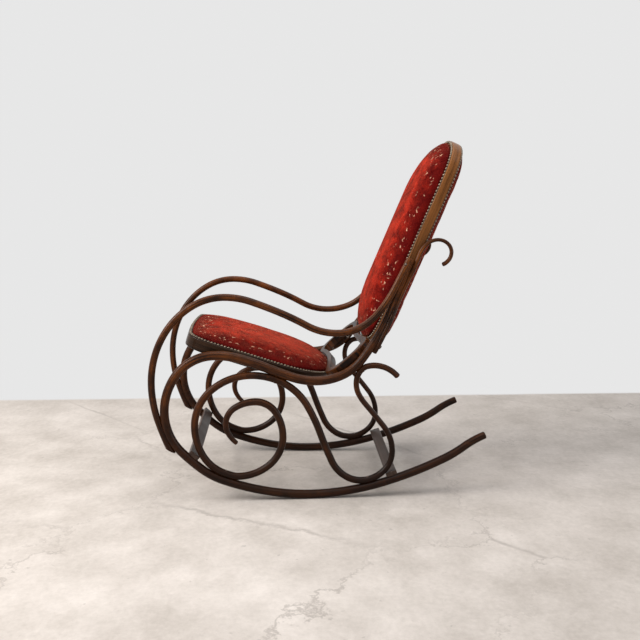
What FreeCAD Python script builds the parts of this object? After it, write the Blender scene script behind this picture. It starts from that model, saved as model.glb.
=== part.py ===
import FreeCAD, Part
import math
import os
from FreeCAD import Placement, Rotation, Vector

# A bentwood rocking chair with an upholstered seat and back.
# Millimetres. X runs across the chair, +X is the sitter's left. Y runs from front to rear. Z is up.
# The side view is drawn with y = 0 where the rockers meet the floor. The finished chair is
# measured from the middle of its footprint, on the floor.

UP = Vector(0, 0, 1)
ACROSS = Vector(1, 0, 0)
REARWARD = Vector(0, 1, 0)
ORIGIN = Vector(0, 0, 0)

# Smallest turn that is still drawn as an arc, in radians, and the gap that faces are sewn across
LEAST_TURN = 1e-4
SEWING = 1e-4
FULL_TURN = 360
EDGES_OF_A_BOX = 12

# Driving dimensions

# Rods are drawn in side view. A station is a point of the rod's centre line (y, z), its heading in
# degrees above the rearward direction, and the rod's radius there.
STATIONS = {
    "side": (
        ("tail", 561, 188, 202, 11.5),
        ("heel", 433, 115, 205, 13),
        ("sole", 52, 15, 182, 13),
        ("ball", -241, 66, 159, 13),
        ("toe", -363, 156, 134, 13),
        ("bow", -412, 281, 90, 13),
        ("knee", -261, 451, 0, 14),
        ("rail", -107, 411, -23, 14.5),
        ("dip", 44, 369, 0, 14),
        ("neck", 177, 430, 52, 13),
        ("lean", 265, 575, 67, 10.5),
        ("crown", 331, 727, 67, 8.5),
    ),
    "arm": (
        ("top", 321, 730, -116, 9),
        ("lean", 230, 573, -131, 10.5),
        ("valley", 102, 516, 180, 10.5),
        ("elbow", -72, 581, 157, 10.5),
        ("rest", -230, 625, 180, 10.5),
        ("turn", -389, 541, -128, 10.5),
        ("front", -448, 365, -90, 10.5),
        ("foot", -392, 152, -65, 10),
    ),
    "scroll": (
        ("tip", -200, 182, 140, 7),
        ("curl", -231, 241, 90, 9),
        ("loop", -143, 308, 0, 11),
        ("drop", -60, 199, -90, 11),
        ("base", -194, 77, 180, 11),
        ("rocker", -237, 85, 155, 11),
        ("swell", -324, 234, 90, 11),
        ("arch", -155, 389, 0, 11),
        ("rail", -80, 374, -23, 11),
        ("fall", 15, 291, -61, 11),
        ("leg", 88, 118, -66, 11),
        ("floor", 200, 56, 10, 10.5),
        ("heel", 274, 143, 90, 9),
        ("waist", 192, 292, 130, 8.5),
        ("rise", 162, 358, 90, 8.5),
        ("neck", 180, 400, 52, 9),
        ("crest", 214, 413, 0, 9),
        ("hook", 287, 379, -49, 9),
    ),
    "prop": (
        ("foot", 216, 453, 60, 7.5),
        ("side", 329, 684, 64, 7.5),
        ("rise", 355, 744, 70, 7),
        ("crest", 410, 787, 0, 5.5),
        ("hook", 451, 749, -90, 6),
        ("tip", 426, 713, -157, 6.5),
    ),
}

# Stations where one rod lies against another: the other rod, and 1 or -1 for the sense of travel
RESTS_ON = {
    ("scroll", "rocker"): ("side", 1),
    ("scroll", "rail"): ("side", 1),
    ("scroll", "floor"): ("side", -1),
    ("scroll", "neck"): ("side", 1),
}

SIZES = (
    ("frame_half_width", 237, "middle plane to a side rod's centre, at the floor contact"),
    ("frame_splay", 0.034, "how much wider a side frame stands per millimetre forward"),
    ("post_lean_offset", 201, "middle plane to the side rod at its lean station"),
    ("post_lean_rate", -0.22, "inward run of the side rod there, per millimetre of height"),
    ("arm_half_width", 250, "middle plane to the front of an arm"),
    ("arm_lean_offset", 220, "middle plane to the arm at its lean station"),
    ("arm_lean_rate", 0.2, "outward run of the arm there, per millimetre of length"),
    ("prop_foot_offset", 228, "middle plane to the foot of a back prop"),
    ("rod_flat", 1.0, "depth of the flat where a rod is screwed to a ring or hoop"),
    ("rod_seat", 2.0, "how deep a rod is let into the rod that it is screwed to"),
    ("rod_end_round", 2.5, "chamfer on the cut ends of the rods"),
    ("scarf_angle", 28, "how far the cut of the arm's lower end falls towards the rear, degrees"),
    ("scarf_trim", 12, "length of the arm that this cut takes"),
    ("seat_rear_y", 98.9, "rear end of the seat ring's under face"),
    ("seat_rear_z", 323, "height of that end"),
    ("seat_slope", 18.5, "how far the seat falls towards the rear, degrees"),
    ("seat_length", 478, "seat ring, front to rear"),
    ("seat_front_bow", 7, "how far the front edge bows forward"),
    ("seat_corner_length", 75, "length of the seat's front corners"),
    ("seat_corner_width", 62, "width of the seat's front corners"),
    ("seat_rounding", 180, "length of the seat's rear rounding"),
    ("seat_ring_height", 36.5, "height of the seat ring"),
    ("seat_ring_wall", 22, "thickness of the seat ring"),
    ("seat_crown", 36, "height of the seat pad over the ring"),
    ("seat_fall_front", 115, "length over which the pad falls to its front edge"),
    ("seat_fall_side", 150, "the same at its sides"),
    ("seat_fall_rear", 135, "the same at its rear"),
    ("back_foot_y", 203.7, "lowest point of the back ring's front face"),
    ("back_foot_z", 455, "height of that point"),
    ("back_recline", 23, "lean of the back from the vertical, degrees"),
    ("back_length", 688, "back ring, foot to top"),
    ("back_half_width", 180, "middle plane to the back ring's outer side"),
    ("back_foot_rounding", 105, "length of the rounding at the back's foot"),
    ("back_top_rounding", 123, "length of the rounding at its top"),
    ("back_ring_depth", 30, "front to rear of the back ring"),
    ("back_ring_wall", 20, "thickness of the back ring"),
    ("back_crown", 60, "height of the front back pad over the ring"),
    ("back_fall_foot", 210, "length over which the front pad falls to its foot"),
    ("back_fall_side", 150, "the same at its sides"),
    ("back_fall_top", 200, "the same at its top"),
    ("rear_crown", 30, "height of the rear back pad over the ring"),
    ("rear_fall", 150, "length over which the rear pad falls to its edges"),
    ("pad_draw_in", 1.5, "how far a pad is drawn in at its nailed edge"),
    ("back_stuffing", 8, "thickness of the back pads' stuffing over the space for their springs"),
    ("ring_edge_round", 4, "rounding of the rings' edges"),
    ("rabbet_width", 6, "ledge that carries a webbing panel"),
    ("rabbet_depth", 4, "depth of that ledge"),
    ("webbing_thickness", 3, "thickness of a webbing panel"),
    ("webbing_gap", 0.3, "clearance round a webbing panel"),
    ("nail_margin", 3, "ring's outer edge to the nailed braid"),
    ("nail_band_width", 7, "width of the nailed braid"),
    ("nail_band_height", 2, "height of the nailed braid"),
    ("pad_gap", 0.3, "clearance between the braid and a pad"),
    ("hoop_front_y", 92, "front of the hoop behind the seat"),
    ("hoop_front_z", 383, "height of that point"),
    ("hoop_slope", 40, "how far the hoop rises towards the rear, degrees"),
    ("hoop_length", 133, "hoop, front to rear"),
    ("hoop_corner", 42, "length of the hoop's rounded corners"),
    ("hoop_wall", 18, "thickness of the hoop"),
    ("hoop_height", 24, "height of the hoop"),
    ("board_width", 34, "width of a stretcher board"),
    ("board_thickness", 14.5, "thickness of a stretcher board"),
    ("board_edge_round", 3, "rounding of its edges"),
    ("board_seat", 2, "how deep a board is let onto the rockers"),
    ("board_overhang", 5, "how far a board passes a rocker's centre line"),
    ("screw_radius", 2, "shank of a screw"),
    ("screw_length", 22, "length of a screw under its head"),
    ("screw_head_radius", 4.5, "radius of a screw's round head"),
    ("screw_head_height", 2.6, "height of a screw's round head"),
    ("screw_sink", 1.6, "depth of the spot face under a screw's head"),
    ("screw_gap", 0.15, "clearance round a screw"),
    ("slot_width", 1, "width of the slot in a screw's head"),
    ("slot_depth", 0.9, "depth of that slot"),
)

# Side-view points on the side rods: where the boards lie, and the joint that each screw closes
JOINTS = (
    ("front_joint", -338, 135),
    ("rear_joint", 278, 56),
    ("seat_front_screw", -250, 441),
    ("seat_rear_screw", -75, 397),
    ("hoop_front_screw", 112, 398),
    ("hoop_rear_screw", 165, 428),
    ("back_low_screw", 300, 655),
    ("back_high_screw", 322, 705),
)

# Shares of a pad's crown at which its outline is drawn
PAD_LEVELS = (0.12, 0.35, 0.55, 0.72, 0.85, 0.94, 0.985, 1.0)
PAD_POWER = 2.0

doc = FreeCAD.newDocument("RockingChair")
sheet = doc.addObject("Spreadsheet::Sheet", "Sizes")


def fill_sheet():
    """Write every driving dimension to the sheet, with its alias and its meaning."""
    rows = [(alias, value, note) for alias, value, note in SIZES]
    for rod, points in STATIONS.items():
        for name, y, z, heading, radius in points:
            where = "%s rod, %s station: " % (rod, name)
            rows.append(("%s_%s_y" % (rod, name), y, where + "y"))
            rows.append(("%s_%s_z" % (rod, name), z, where + "z"))
            rows.append(("%s_%s_heading" % (rod, name), heading, where + "heading"))
            rows.append(("%s_%s_radius" % (rod, name), radius, where + "radius"))
    for name, y, z in JOINTS:
        rows.append((name + "_y", y, name + ": y"))
        rows.append((name + "_z", z, name + ": z"))
    for number, (alias, value, note) in enumerate(rows, start=1):
        sheet.set("A%d" % number, note)
        sheet.set("B%d" % number, str(value))
        sheet.setAlias("B%d" % number, alias)
    doc.recompute()


fill_sheet()


def size(alias):
    """One driving dimension, read from the sheet."""
    return float(sheet.get(alias))


# Curves


def direction(heading, lean=0.0):
    """Unit vector of a side-view heading, with a run across the chair per unit of length."""
    angle = math.radians(heading)
    vector = Vector(lean, math.cos(angle), math.sin(angle))
    vector.normalize()
    return vector


def arc_from(start, tangent, end):
    """The arc, or straight run, that leaves start along tangent and reaches end."""
    chord = end - start
    turn = tangent.getAngle(chord)
    if turn < LEAST_TURN:
        return Part.LineSegment(start, end).toShape()
    square = tangent - chord * (tangent.dot(chord) / chord.dot(chord))
    square.normalize()
    middle = (start + end) * 0.5 + square * (chord.Length / 2 * math.tan(turn / 2))
    return Part.Arc(start, middle, end).toShape()


def two_arcs(start, start_tangent, end, end_tangent):
    """Two tangent arcs that join two points with the given tangents."""
    chord = end - start
    spread = 2 * (1 - start_tangent.dot(end_tangent))
    along = chord.dot(start_tangent + end_tangent)
    if spread < LEAST_TURN ** 2:
        reach = chord.dot(chord) / (4 * chord.dot(start_tangent))
    else:
        reach = (math.sqrt(along * along + spread * chord.dot(chord)) - along) / spread
    meeting = (start + end + (start_tangent - end_tangent) * reach) * 0.5
    first = arc_from(start, start_tangent, meeting)
    second = arc_from(meeting, first.tangentAt(first.LastParameter), end)
    return [first, second]


def frame_offset(y):
    """Middle plane to a side frame's plane at a place along the chair."""
    return size("frame_half_width") - size("frame_splay") * y


class Rod:
    """A round bent rod through stations (point, tangent, radius), joined by pairs of arcs."""

    def __init__(self, stations):
        self.spans = []
        for (start, start_tangent, start_radius), (end, end_tangent, end_radius) in zip(
                stations[:-1], stations[1:]):
            edges = two_arcs(start, start_tangent, end, end_tangent)
            share = edges[0].Length / (edges[0].Length + edges[1].Length)
            middle_radius = start_radius + (end_radius - start_radius) * share
            self.spans.append((edges[0], start_radius, middle_radius))
            self.spans.append((edges[1], middle_radius, end_radius))
        self.wire = Part.Wire([edge for edge, first, last in self.spans])

    def nearest(self, place):
        """Point, tangent and radius of the rod nearest to a place."""
        vertex = Part.Vertex(place)
        best = min(self.spans, key=lambda span: span[0].distToShape(vertex)[0])
        edge, start_radius, end_radius = best
        point = edge.distToShape(vertex)[1][0][0]
        parameter = edge.Curve.parameter(point)
        share = (parameter - edge.FirstParameter) / (edge.LastParameter - edge.FirstParameter)
        share = min(max(share, 0.0), 1.0)
        parameter = edge.FirstParameter + share * (edge.LastParameter - edge.FirstParameter)
        radius = start_radius + (end_radius - start_radius) * share
        return point, edge.tangentAt(parameter), radius

    def ends(self):
        """(point, outward direction, radius) of the rod's two ends."""
        first, first_radius, unused = self.spans[0]
        last, unused, last_radius = self.spans[-1]
        return (
            (first.valueAt(first.FirstParameter), first.tangentAt(first.FirstParameter) * -1, first_radius),
            (last.valueAt(last.LastParameter), last.tangentAt(last.LastParameter), last_radius),
        )

    def solid(self):
        """The rod as one solid, with chamfered ends."""
        faces = []
        for edge, start_radius, end_radius in self.spans:
            faces.extend(tube_faces(edge, start_radius, end_radius))
        for point, outward, radius in self.ends():
            chamfer = size("rod_end_round")
            tip = point + outward * chamfer
            cone = Part.makeRuledSurface(ring_edge(point, outward, radius),
                                         ring_edge(tip, outward, radius - chamfer))
            faces.extend(cone.Faces)
            faces.append(Part.Face(Part.Wire([ring_edge(tip, outward, radius - chamfer)])))
        shell = Part.Shell(faces)
        shell.sewShape(SEWING)
        solid = Part.Solid(shell if shell.ShapeType == "Shell" else shell.Shells[0])
        if solid.Volume < 0:
            solid.reverse()
        return solid


def ring_edge(centre, normal, radius):
    """A circle whose seam lies on its outer side across the chair."""
    circle = Part.Circle(centre, normal, radius)
    seam = ACROSS - normal * ACROSS.dot(normal)
    seam.normalize()
    circle.XAxis = seam
    return circle.toShape()


def tube_faces(edge, start_radius, end_radius):
    """The round skin along one arc, which may taper."""
    pipe = Part.BRepOffsetAPI.MakePipeShell(Part.Wire([edge]))
    start, end = edge.FirstParameter, edge.LastParameter
    pipe.add(Part.Wire([ring_edge(edge.valueAt(start), edge.tangentAt(start), start_radius)]))
    if end_radius != start_radius:
        pipe.add(Part.Wire([ring_edge(edge.valueAt(end), edge.tangentAt(end), end_radius)]))
    pipe.build()
    return pipe.shape().Faces


def station(rod, name):
    """A station's side-view y and z, heading and radius, from the sheet."""
    return tuple(size("%s_%s_%s" % (rod, name, what)) for what in ("y", "z", "heading", "radius"))


def profile(y, z, across=0.0):
    """A place of the side view, measured from the middle of the chair's footprint."""
    return Vector(across, y, z) - footprint


def resting_station(carrier, place, sense, radius):
    """A station of a rod that lies on its carrier and is let into it."""
    point, tangent, carrier_radius = carrier.nearest(place)
    away = place - point
    away.normalize()
    return point + away * (carrier_radius + radius - size("rod_seat")), tangent * sense, radius


def framed_rod(rod, offsets=None, carrier=None):
    """A rod in the side frame's plane, or at the offsets given for some of its stations.

    offsets gives, by station, the distance from the middle plane and the run across the chair.
    """
    offsets = offsets or {}
    stations = []
    for name, *unused in STATIONS[rod]:
        y, z, heading, radius = station(rod, name)
        if name in offsets:
            offset, lean = offsets[name]
        else:
            offset = frame_offset(y)
            lean = -size("frame_splay") * math.cos(math.radians(heading))
        place = profile(y, z, offset)
        if (rod, name) in RESTS_ON:
            sense = RESTS_ON[(rod, name)][1]
            stations.append(resting_station(carrier, place, sense, radius))
        else:
            stations.append((place, direction(heading, lean), radius))
    return Rod(stations)


def upright(names, offset):
    """Offsets that hold some stations of a rod in one upright plane."""
    return {name: (offset, 0) for name in names}


# The rods of the left side

back_side_x = size("back_half_width")
post_radius = station("side", "crown")[3]
side_offsets = {
    "lean": (size("post_lean_offset"), size("post_lean_rate")),
    "crown": (back_side_x + post_radius, 0),
}

arm_top_x = back_side_x + 2 * post_radius + station("arm", "top")[3] - size("rod_seat")
arm_offsets = upright(("valley", "elbow", "rest", "turn", "front", "foot"), size("arm_half_width"))
arm_offsets["top"] = (arm_top_x, 0)
arm_offsets["lean"] = (size("arm_lean_offset"), size("arm_lean_rate"))

prop_x = back_side_x + station("prop", "side")[3] - size("rod_flat")
prop_offsets = upright(("side", "rise", "crest", "hook", "tip"), prop_x)
prop_offsets["foot"] = (size("prop_foot_offset"), 0)

# The tails and the arms' fronts bound the footprint, and the rockers touch the floor
footprint = ORIGIN
reach = FreeCAD.BoundBox()
reach.add(framed_rod("side", side_offsets).solid().optimalBoundingBox(False, False))
reach.add(framed_rod("arm", arm_offsets).solid().optimalBoundingBox(False, False))
footprint = Vector(0, (reach.YMin + reach.YMax) / 2, reach.ZMin)

side_rod = framed_rod("side", side_offsets)
arm_rod = framed_rod("arm", arm_offsets)
scroll_rod = framed_rod("scroll", carrier=side_rod)
prop_rod = framed_rod("prop", prop_offsets)


# Plan outlines


class Plane:
    """A flat datum across the chair: its own origin, its length direction and its upward normal."""

    def __init__(self, y, z, angle):
        self.origin = profile(y, z)
        self.along = direction(angle)
        self.normal = direction(angle + 90)

    def point(self, across, along, height=0.0):
        return self.origin + ACROSS * across + self.along * along + self.normal * height

    def heading(self, angle):
        """0 runs to the left, 90 along the plane."""
        turn = math.radians(angle)
        return ACROSS * math.cos(turn) + self.along * math.sin(turn)


class Outline:
    """A closed outline, the same on both sides: bowed ends, rounded corners, nearly straight sides.

    front_run is how far the bowed front reaches to each side before its corner begins, and
    front_bow how far it falls back by then.
    """

    def __init__(self, plane, front, rear, front_corner, rear_corner, front_half, rear_half,
                 front_run=0.0, front_bow=0.0):
        self.plane = plane
        self.front = front
        self.rear = rear
        self.front_corner = front_corner
        self.rear_corner = rear_corner
        self.front_half = front_half
        self.rear_half = rear_half
        self.front_run = front_run
        self.front_bow = front_bow

    def inset(self, front, side, rear):
        """A smaller outline, whose corners keep their share of its width."""
        front_share = (self.front_half - side) / self.front_half
        rear_share = (self.rear_half - side) / self.rear_half
        return Outline(
            self.plane, self.front + front, self.rear - rear,
            self.front_corner * front_share, self.rear_corner * rear_share,
            self.front_half * front_share, self.rear_half * rear_share,
            self.front_run * front_share, self.front_bow * front_share)

    def half(self):
        """(across, along, heading) of one side's stations, from the front to the rear."""
        front_end = self.front + self.front_bow + self.front_corner
        rear_end = self.rear - self.rear_corner
        slant = math.degrees(math.atan2(self.rear_half - self.front_half, rear_end - front_end))
        stations = [(0, self.front, 0)]
        if self.front_run:
            turn = math.degrees(2 * math.atan2(self.front_bow, self.front_run))
            stations.append((self.front_run, self.front + self.front_bow, turn))
        stations.append((self.front_half, front_end, 90 - slant))
        stations.append((self.rear_half, rear_end, 90 - slant))
        stations.append((0, self.rear, 180))
        return stations

    def wire(self, height=0.0):
        left = self.half()
        right = [(-across, along, FULL_TURN - heading)
                 for across, along, heading in reversed(left[:-1])]
        plane = self.plane
        edges = []
        for (x0, s0, h0), (x1, s1, h1) in zip(left + right[:-1], (left + right)[1:]):
            edges.extend(two_arcs(plane.point(x0, s0, height), plane.heading(h0),
                                  plane.point(x1, s1, height), plane.heading(h1)))
        return Part.Wire(edges)


def even(outline, distance):
    return outline.inset(distance, distance, distance)


def rail_face(plane, along):
    """Middle plane to the side rod's flattened inner face, beside a place of a plane."""
    place = plane.point(size("frame_half_width"), along)
    point, unused, radius = side_rod.nearest(place)
    return point.x - radius + size("rod_flat")


def beside_rail(plane, front, rear, front_corner, rear_corner, corner_width=None, front_bow=0.0):
    """An outline whose sides lie on the flats of the side rods."""
    front_half = rail_face(plane, front + front_bow + front_corner)
    front_run = front_half - corner_width if corner_width else 0.0
    return Outline(plane, front, rear, front_corner, rear_corner, front_half,
                   rail_face(plane, rear - rear_corner), front_run, front_bow)


seat_plane = Plane(size("seat_rear_y"), size("seat_rear_z"), -size("seat_slope"))
back_plane = Plane(size("back_foot_y"), size("back_foot_z"), 90 - size("back_recline"))
hoop_plane = Plane(size("hoop_front_y"), size("hoop_front_z"), size("hoop_slope"))

seat_outline = beside_rail(
    seat_plane, -size("seat_length") - size("seat_front_bow"), 0, size("seat_corner_length"),
    size("seat_rounding"), size("seat_corner_width"), size("seat_front_bow"))
back_outline = Outline(
    back_plane, 0, size("back_length"), size("back_foot_rounding"), size("back_top_rounding"),
    size("back_half_width"), size("back_half_width"))
hoop_outline = beside_rail(hoop_plane, 0, size("hoop_length"), size("hoop_corner"), size("hoop_corner"))


# Objects of the document


def feature(kind, name, **values):
    """An object of the document. Text values are expressions on the sheet."""
    thing = doc.addObject("Part::" + kind, name)
    thing.Label = name
    for key, value in values.items():
        if isinstance(value, str):
            thing.setExpression(key, value)
        else:
            setattr(thing, key, value)
    return thing


def drawn(name, shape):
    """A shape drawn from the sheet's sizes: a rod through its stations, or an outline."""
    return feature("Feature", name, Shape=shape)


def cut(name, base, *tools):
    """One object with others taken out of it, one after another."""
    for number, tool in enumerate(tools, start=1):
        last = number == len(tools)
        base = feature("Cut", name if last else "%s_fitted_%d" % (name, number), Base=base, Tool=tool)
    return base


def rounded(name, base, edges, radius):
    return feature("Fillet", name, Base=base, Edges=[(number, radius, radius) for number in edges])


def prism(name, outline, low, height, reach=None):
    """An outline raised from a level of its plane by a height of the sheet, and below it by a reach."""
    wire = drawn(name + "_outline", outline.wire(low))
    values = {"LengthRev": reach} if reach else {}
    return feature("Extrusion", name, Base=wire, Dir=outline.plane.normal, LengthFwd=height, Solid=True,
                   **values)


def bent_ring(name, outline, low, height, wall):
    """A ring of one outline, with rounded outer edges."""
    outer = prism(name + "_outer", outline, low, height)
    doc.recompute()
    level = [number for number, edge in enumerate(outer.Shape.Edges, start=1)
             if runs_level(edge, outline.plane)]
    outer = rounded(name + "_rounded", outer, level, size("ring_edge_round"))
    inner = prism(name + "_inner", even(outline, wall), low, "2 * " + height, reach=height)
    return cut(name + "_blank", outer, inner)


def runs_level(edge, plane):
    """True for an edge that lies along the plane, not across it."""
    first = edge.valueAt(edge.FirstParameter)
    last = edge.valueAt(edge.LastParameter)
    return abs((last - first).dot(plane.normal)) < SEWING


def rabbet(name, outline, wall, face):
    """The space of the ledge that a webbing panel lies on, on both sides of a ring's face."""
    ledge = even(outline, wall - size("rabbet_width"))
    return prism(name, ledge, face, "Sizes.rabbet_depth", reach="Sizes.rabbet_depth")


def webbing_panel(name, outline, wall, low):
    inside = even(outline, wall - size("rabbet_width") + size("webbing_gap"))
    return prism(name, inside, low, "Sizes.webbing_thickness")


def nail_band(name, outline, low):
    """A flat braid that follows the outline just inside its edge."""
    outer = prism(name + "_outer", even(outline, size("nail_margin")), low, "Sizes.nail_band_height")
    inner = prism(name + "_inner", even(outline, size("nail_margin") + size("nail_band_width")), low,
                  "2 * Sizes.nail_band_height", reach="Sizes.nail_band_height")
    return cut(name, outer, inner)


def pad(name, outline, base, crown, fall_front, fall_side, fall_rear):
    """A crowned cushion, drawn in at its nailed edge. A negative crown points the other way."""
    edge = even(outline, size("nail_margin") + size("nail_band_width") + size("pad_gap"))
    sections = [drawn(name + "_foot", even(edge, size("pad_draw_in")).wire(base))]
    for number, level in enumerate(PAD_LEVELS, start=1):
        share = 1 - (1 - level ** PAD_POWER) ** (1 / PAD_POWER)
        section = edge.inset(fall_front * share, fall_side * share, fall_rear * share)
        sections.append(drawn("%s_section_%d" % (name, number), section.wire(base + crown * level)))
    return feature("Loft", name, Sections=sections, Solid=True, Ruled=True)


def sprung_pad(name, outline, base, crown, *falls):
    """A pad of one thickness of stuffing over the space of its springs."""
    stuffing = size("back_stuffing")
    whole = pad(name + "_whole", outline, base, crown, *falls)
    core = pad(name + "_core", even(outline, stuffing), base, crown - math.copysign(stuffing, crown), *falls)
    return cut(name, whole, core)


def mirrored(name, source):
    return feature("Mirroring", name, Source=source, Base=ORIGIN, Normal=ACROSS)


# Rings, webbing, braid and pads. The back plane's normal points forward.

seat_height = size("seat_ring_height")
seat_wall = size("seat_ring_wall")
back_depth = size("back_ring_depth")
back_wall = size("back_ring_wall")
hoop_height = size("hoop_height")
ledge = size("rabbet_depth")
band_height = size("nail_band_height")
webbing = size("webbing_thickness")

seat_ring = bent_ring("seat_ring", seat_outline, 0, "Sizes.seat_ring_height", seat_wall)
back_ring = bent_ring("back_ring", back_outline, -back_depth, "Sizes.back_ring_depth", back_wall)
hoop = bent_ring("rear_hoop", hoop_outline, -hoop_height / 2, "Sizes.hoop_height", size("hoop_wall"))

seat_webbing = webbing_panel("seat_webbing", seat_outline, seat_wall, seat_height - ledge)
front_webbing = webbing_panel("back_front_webbing", back_outline, back_wall, -ledge)
rear_webbing = webbing_panel("back_rear_webbing", back_outline, back_wall, ledge - back_depth - webbing)

seat_band = nail_band("seat_nail_band", seat_outline, seat_height)
front_band = nail_band("back_front_nail_band", back_outline, 0)
rear_band = nail_band("back_rear_nail_band", back_outline, -back_depth - band_height)

seat_pad = pad("seat_pad", seat_outline, seat_height, size("seat_crown"),
               size("seat_fall_front"), size("seat_fall_side"), size("seat_fall_rear"))
front_pad = sprung_pad("back_front_pad", back_outline, 0, size("back_crown"),
                       size("back_fall_foot"), size("back_fall_side"), size("back_fall_top"))
rear_pad = sprung_pad("back_rear_pad", back_outline, -back_depth, -size("rear_crown"),
                      size("rear_fall"), size("rear_fall"), size("rear_fall"))


# Stretcher boards


def joint(name):
    """The side rod's centre, tangent and radius at a named joint."""
    y, z = size(name + "_y"), size(name + "_z")
    return side_rod.nearest(profile(y, z, frame_offset(y)))


class Board:
    """A board across the rockers, flat on them."""

    def __init__(self, name):
        self.name = name
        self.point, tangent, self.radius = joint(name + "_joint")
        self.along = Vector(0, abs(tangent.y), math.copysign(tangent.z, tangent.y * tangent.z))
        self.along.normalize()
        self.normal = ACROSS.cross(self.along)
        self.low = self.radius - size("board_seat")

    def blank(self):
        half = self.point.x + size("board_overhang")
        corner = Placement(Vector(-half, -size("board_width") / 2, self.low), Rotation())
        middle = Vector(0, self.point.y, self.point.z)
        box = feature("Box", self.name + "_box", Length=2 * half, Width="Sizes.board_width",
                      Height="Sizes.board_thickness",
                      Placement=Placement(middle, Rotation(REARWARD, self.along)).multiply(corner))
        return rounded(self.name + "_blank", box, range(1, EDGES_OF_A_BOX + 1), size("board_edge_round"))

    def screw(self):
        top = self.point + self.normal * (self.low + size("board_thickness"))
        return Screw(top, self.normal * -1)


# Screws


class Screw:
    """Where a wood screw's head seats, and the way it is driven."""

    def __init__(self, surface, driven):
        self.driven = driven
        self.seat = surface + driven * size("screw_sink")

    def placements(self):
        """The screw's place on the left side, and the same on the right."""
        places = []
        for side in (1, -1):
            seat = Vector(self.seat.x * side, self.seat.y, self.seat.z)
            outward = Vector(-self.driven.x * side, -self.driven.y, -self.driven.z)
            places.append(Placement(seat, Rotation(UP, outward)))
        return places


def raised(expression):
    """Values that set an object's base height on the sheet, once it has a placement."""
    return {"Placement": Placement(), ".Placement.Base.z": expression}


def slotted_screw():
    """A round-head wood screw, its head upward, seated at height 0."""
    ball_radius = ("(Sizes.screw_head_radius ^ 2 + Sizes.screw_head_height ^ 2)"
                   " / (2 * Sizes.screw_head_height)")
    ball = feature("Sphere", "screw_ball", Radius=ball_radius,
                   **raised("Sizes.screw_head_height - " + ball_radius))
    rim = feature("Cylinder", "screw_rim", Radius="Sizes.screw_head_radius",
                  Height="2 * Sizes.screw_head_height")
    dome = feature("Common", "screw_dome", Base=ball, Tool=rim)
    slot = feature("Box", "screw_slot", Length="Sizes.slot_width", Width="4 * Sizes.screw_head_radius",
                   Height="2 * Sizes.slot_depth",
                   **raised("Sizes.screw_head_height - Sizes.slot_depth"))
    slot.setExpression(".Placement.Base.x", "-Sizes.slot_width / 2")
    slot.setExpression(".Placement.Base.y", "-2 * Sizes.screw_head_radius")
    head = cut("screw_head", dome, slot)
    shank = feature("Cylinder", "screw_shank", Radius="Sizes.screw_radius",
                    Height="Sizes.screw_length - 2 * Sizes.screw_radius",
                    **raised("2 * Sizes.screw_radius - Sizes.screw_length"))
    point = feature("Cone", "screw_point", Radius1="Sizes.screw_radius / 4", Radius2="Sizes.screw_radius",
                    Height="2 * Sizes.screw_radius", **raised("-Sizes.screw_length"))
    return feature("MultiFuse", "screw", Shapes=[head, shank, point])


def screw_hole():
    """The drilled hole and the spot face for a screw's head."""
    drilled = feature("Cylinder", "hole_drilled", Radius="Sizes.screw_radius + Sizes.screw_gap",
                      Height="Sizes.screw_length + 2 * Sizes.screw_gap",
                      **raised("-Sizes.screw_length - Sizes.screw_gap"))
    face = feature("Cylinder", "hole_spot_face", Radius="Sizes.screw_head_radius + Sizes.screw_gap",
                   Height="Sizes.screw_length")
    return feature("MultiFuse", "hole", Shapes=[drilled, face])


def copies(name, master, placements):
    """Copies of one object at several placements."""
    links = []
    for number, placement in enumerate(placements, start=1):
        link = doc.addObject("App::Link", "%s_%d" % (name, number))
        link.LinkedObject = master
        link.LinkPlacement = placement
        links.append(link)
    return feature("Compound", name, Links=links)


screw = slotted_screw()
hole = screw_hole()


def left_holes(name, screws):
    return copies(name, hole, [each.placements()[0] for each in screws])


def all_holes(name, screws):
    return copies(name, hole, [place for each in screws for place in each.placements()])


def screw_group(name, screws):
    return copies(name, screw, [place for each in screws for place in each.placements()])


def screw_between(rod, carrier, name):
    """A screw through a scroll leg into the rod that carries it."""
    y, z, unused, radius = station(rod, name)
    place = profile(y, z, frame_offset(y))
    point, unused, carrier_radius = carrier.nearest(place)
    away = place - point
    away.normalize()
    return Screw(point + away * (carrier_radius + 2 * radius - size("rod_seat")), away * -1)


def screw_across(name, inner_face):
    """A screw driven outward, from inside a ring or the hoop into a side rod."""
    point = joint(name)[0]
    return Screw(Vector(inner_face, point.y, point.z), ACROSS)


def arm_screw():
    """A screw through the top of the arm into the post, one arm's thickness from the arm's end."""
    point, outward, radius = arm_rod.ends()[0]
    drive = side_rod.nearest(point)[0] - point
    drive.normalize()
    return Screw(point - outward * (2 * radius) - drive * radius, drive)


boards = [Board("front"), Board("rear")]
scroll_screws = [screw_between(rod, side_rod, name) for rod, name in RESTS_ON]
seat_screws = [
    screw_across("seat_front_screw", seat_outline.front_half - seat_wall),
    screw_across("seat_rear_screw", seat_outline.rear_half - seat_wall),
]
hoop_screws = [
    screw_across("hoop_front_screw", hoop_outline.front_half - size("hoop_wall")),
    screw_across("hoop_rear_screw", hoop_outline.rear_half - size("hoop_wall")),
]
back_screws = [
    screw_across("back_low_screw", back_side_x - back_wall),
    screw_across("back_high_screw", back_side_x - back_wall),
]
board_screws = [each.screw() for each in boards]
arm_screws = [arm_screw()]
side_screws = scroll_screws + seat_screws + hoop_screws + back_screws + board_screws + arm_screws


# Fitting the pieces to each other

side_blank = drawn("side_rod_blank", side_rod.solid())
scroll_blank = drawn("scroll_leg_blank", scroll_rod.solid())
arm_blank = drawn("arm_blank", arm_rod.solid())
prop_blank = drawn("back_prop_blank", prop_rod.solid())
other_side_blank = mirrored("side_rod_blank_right", side_blank)


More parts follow.
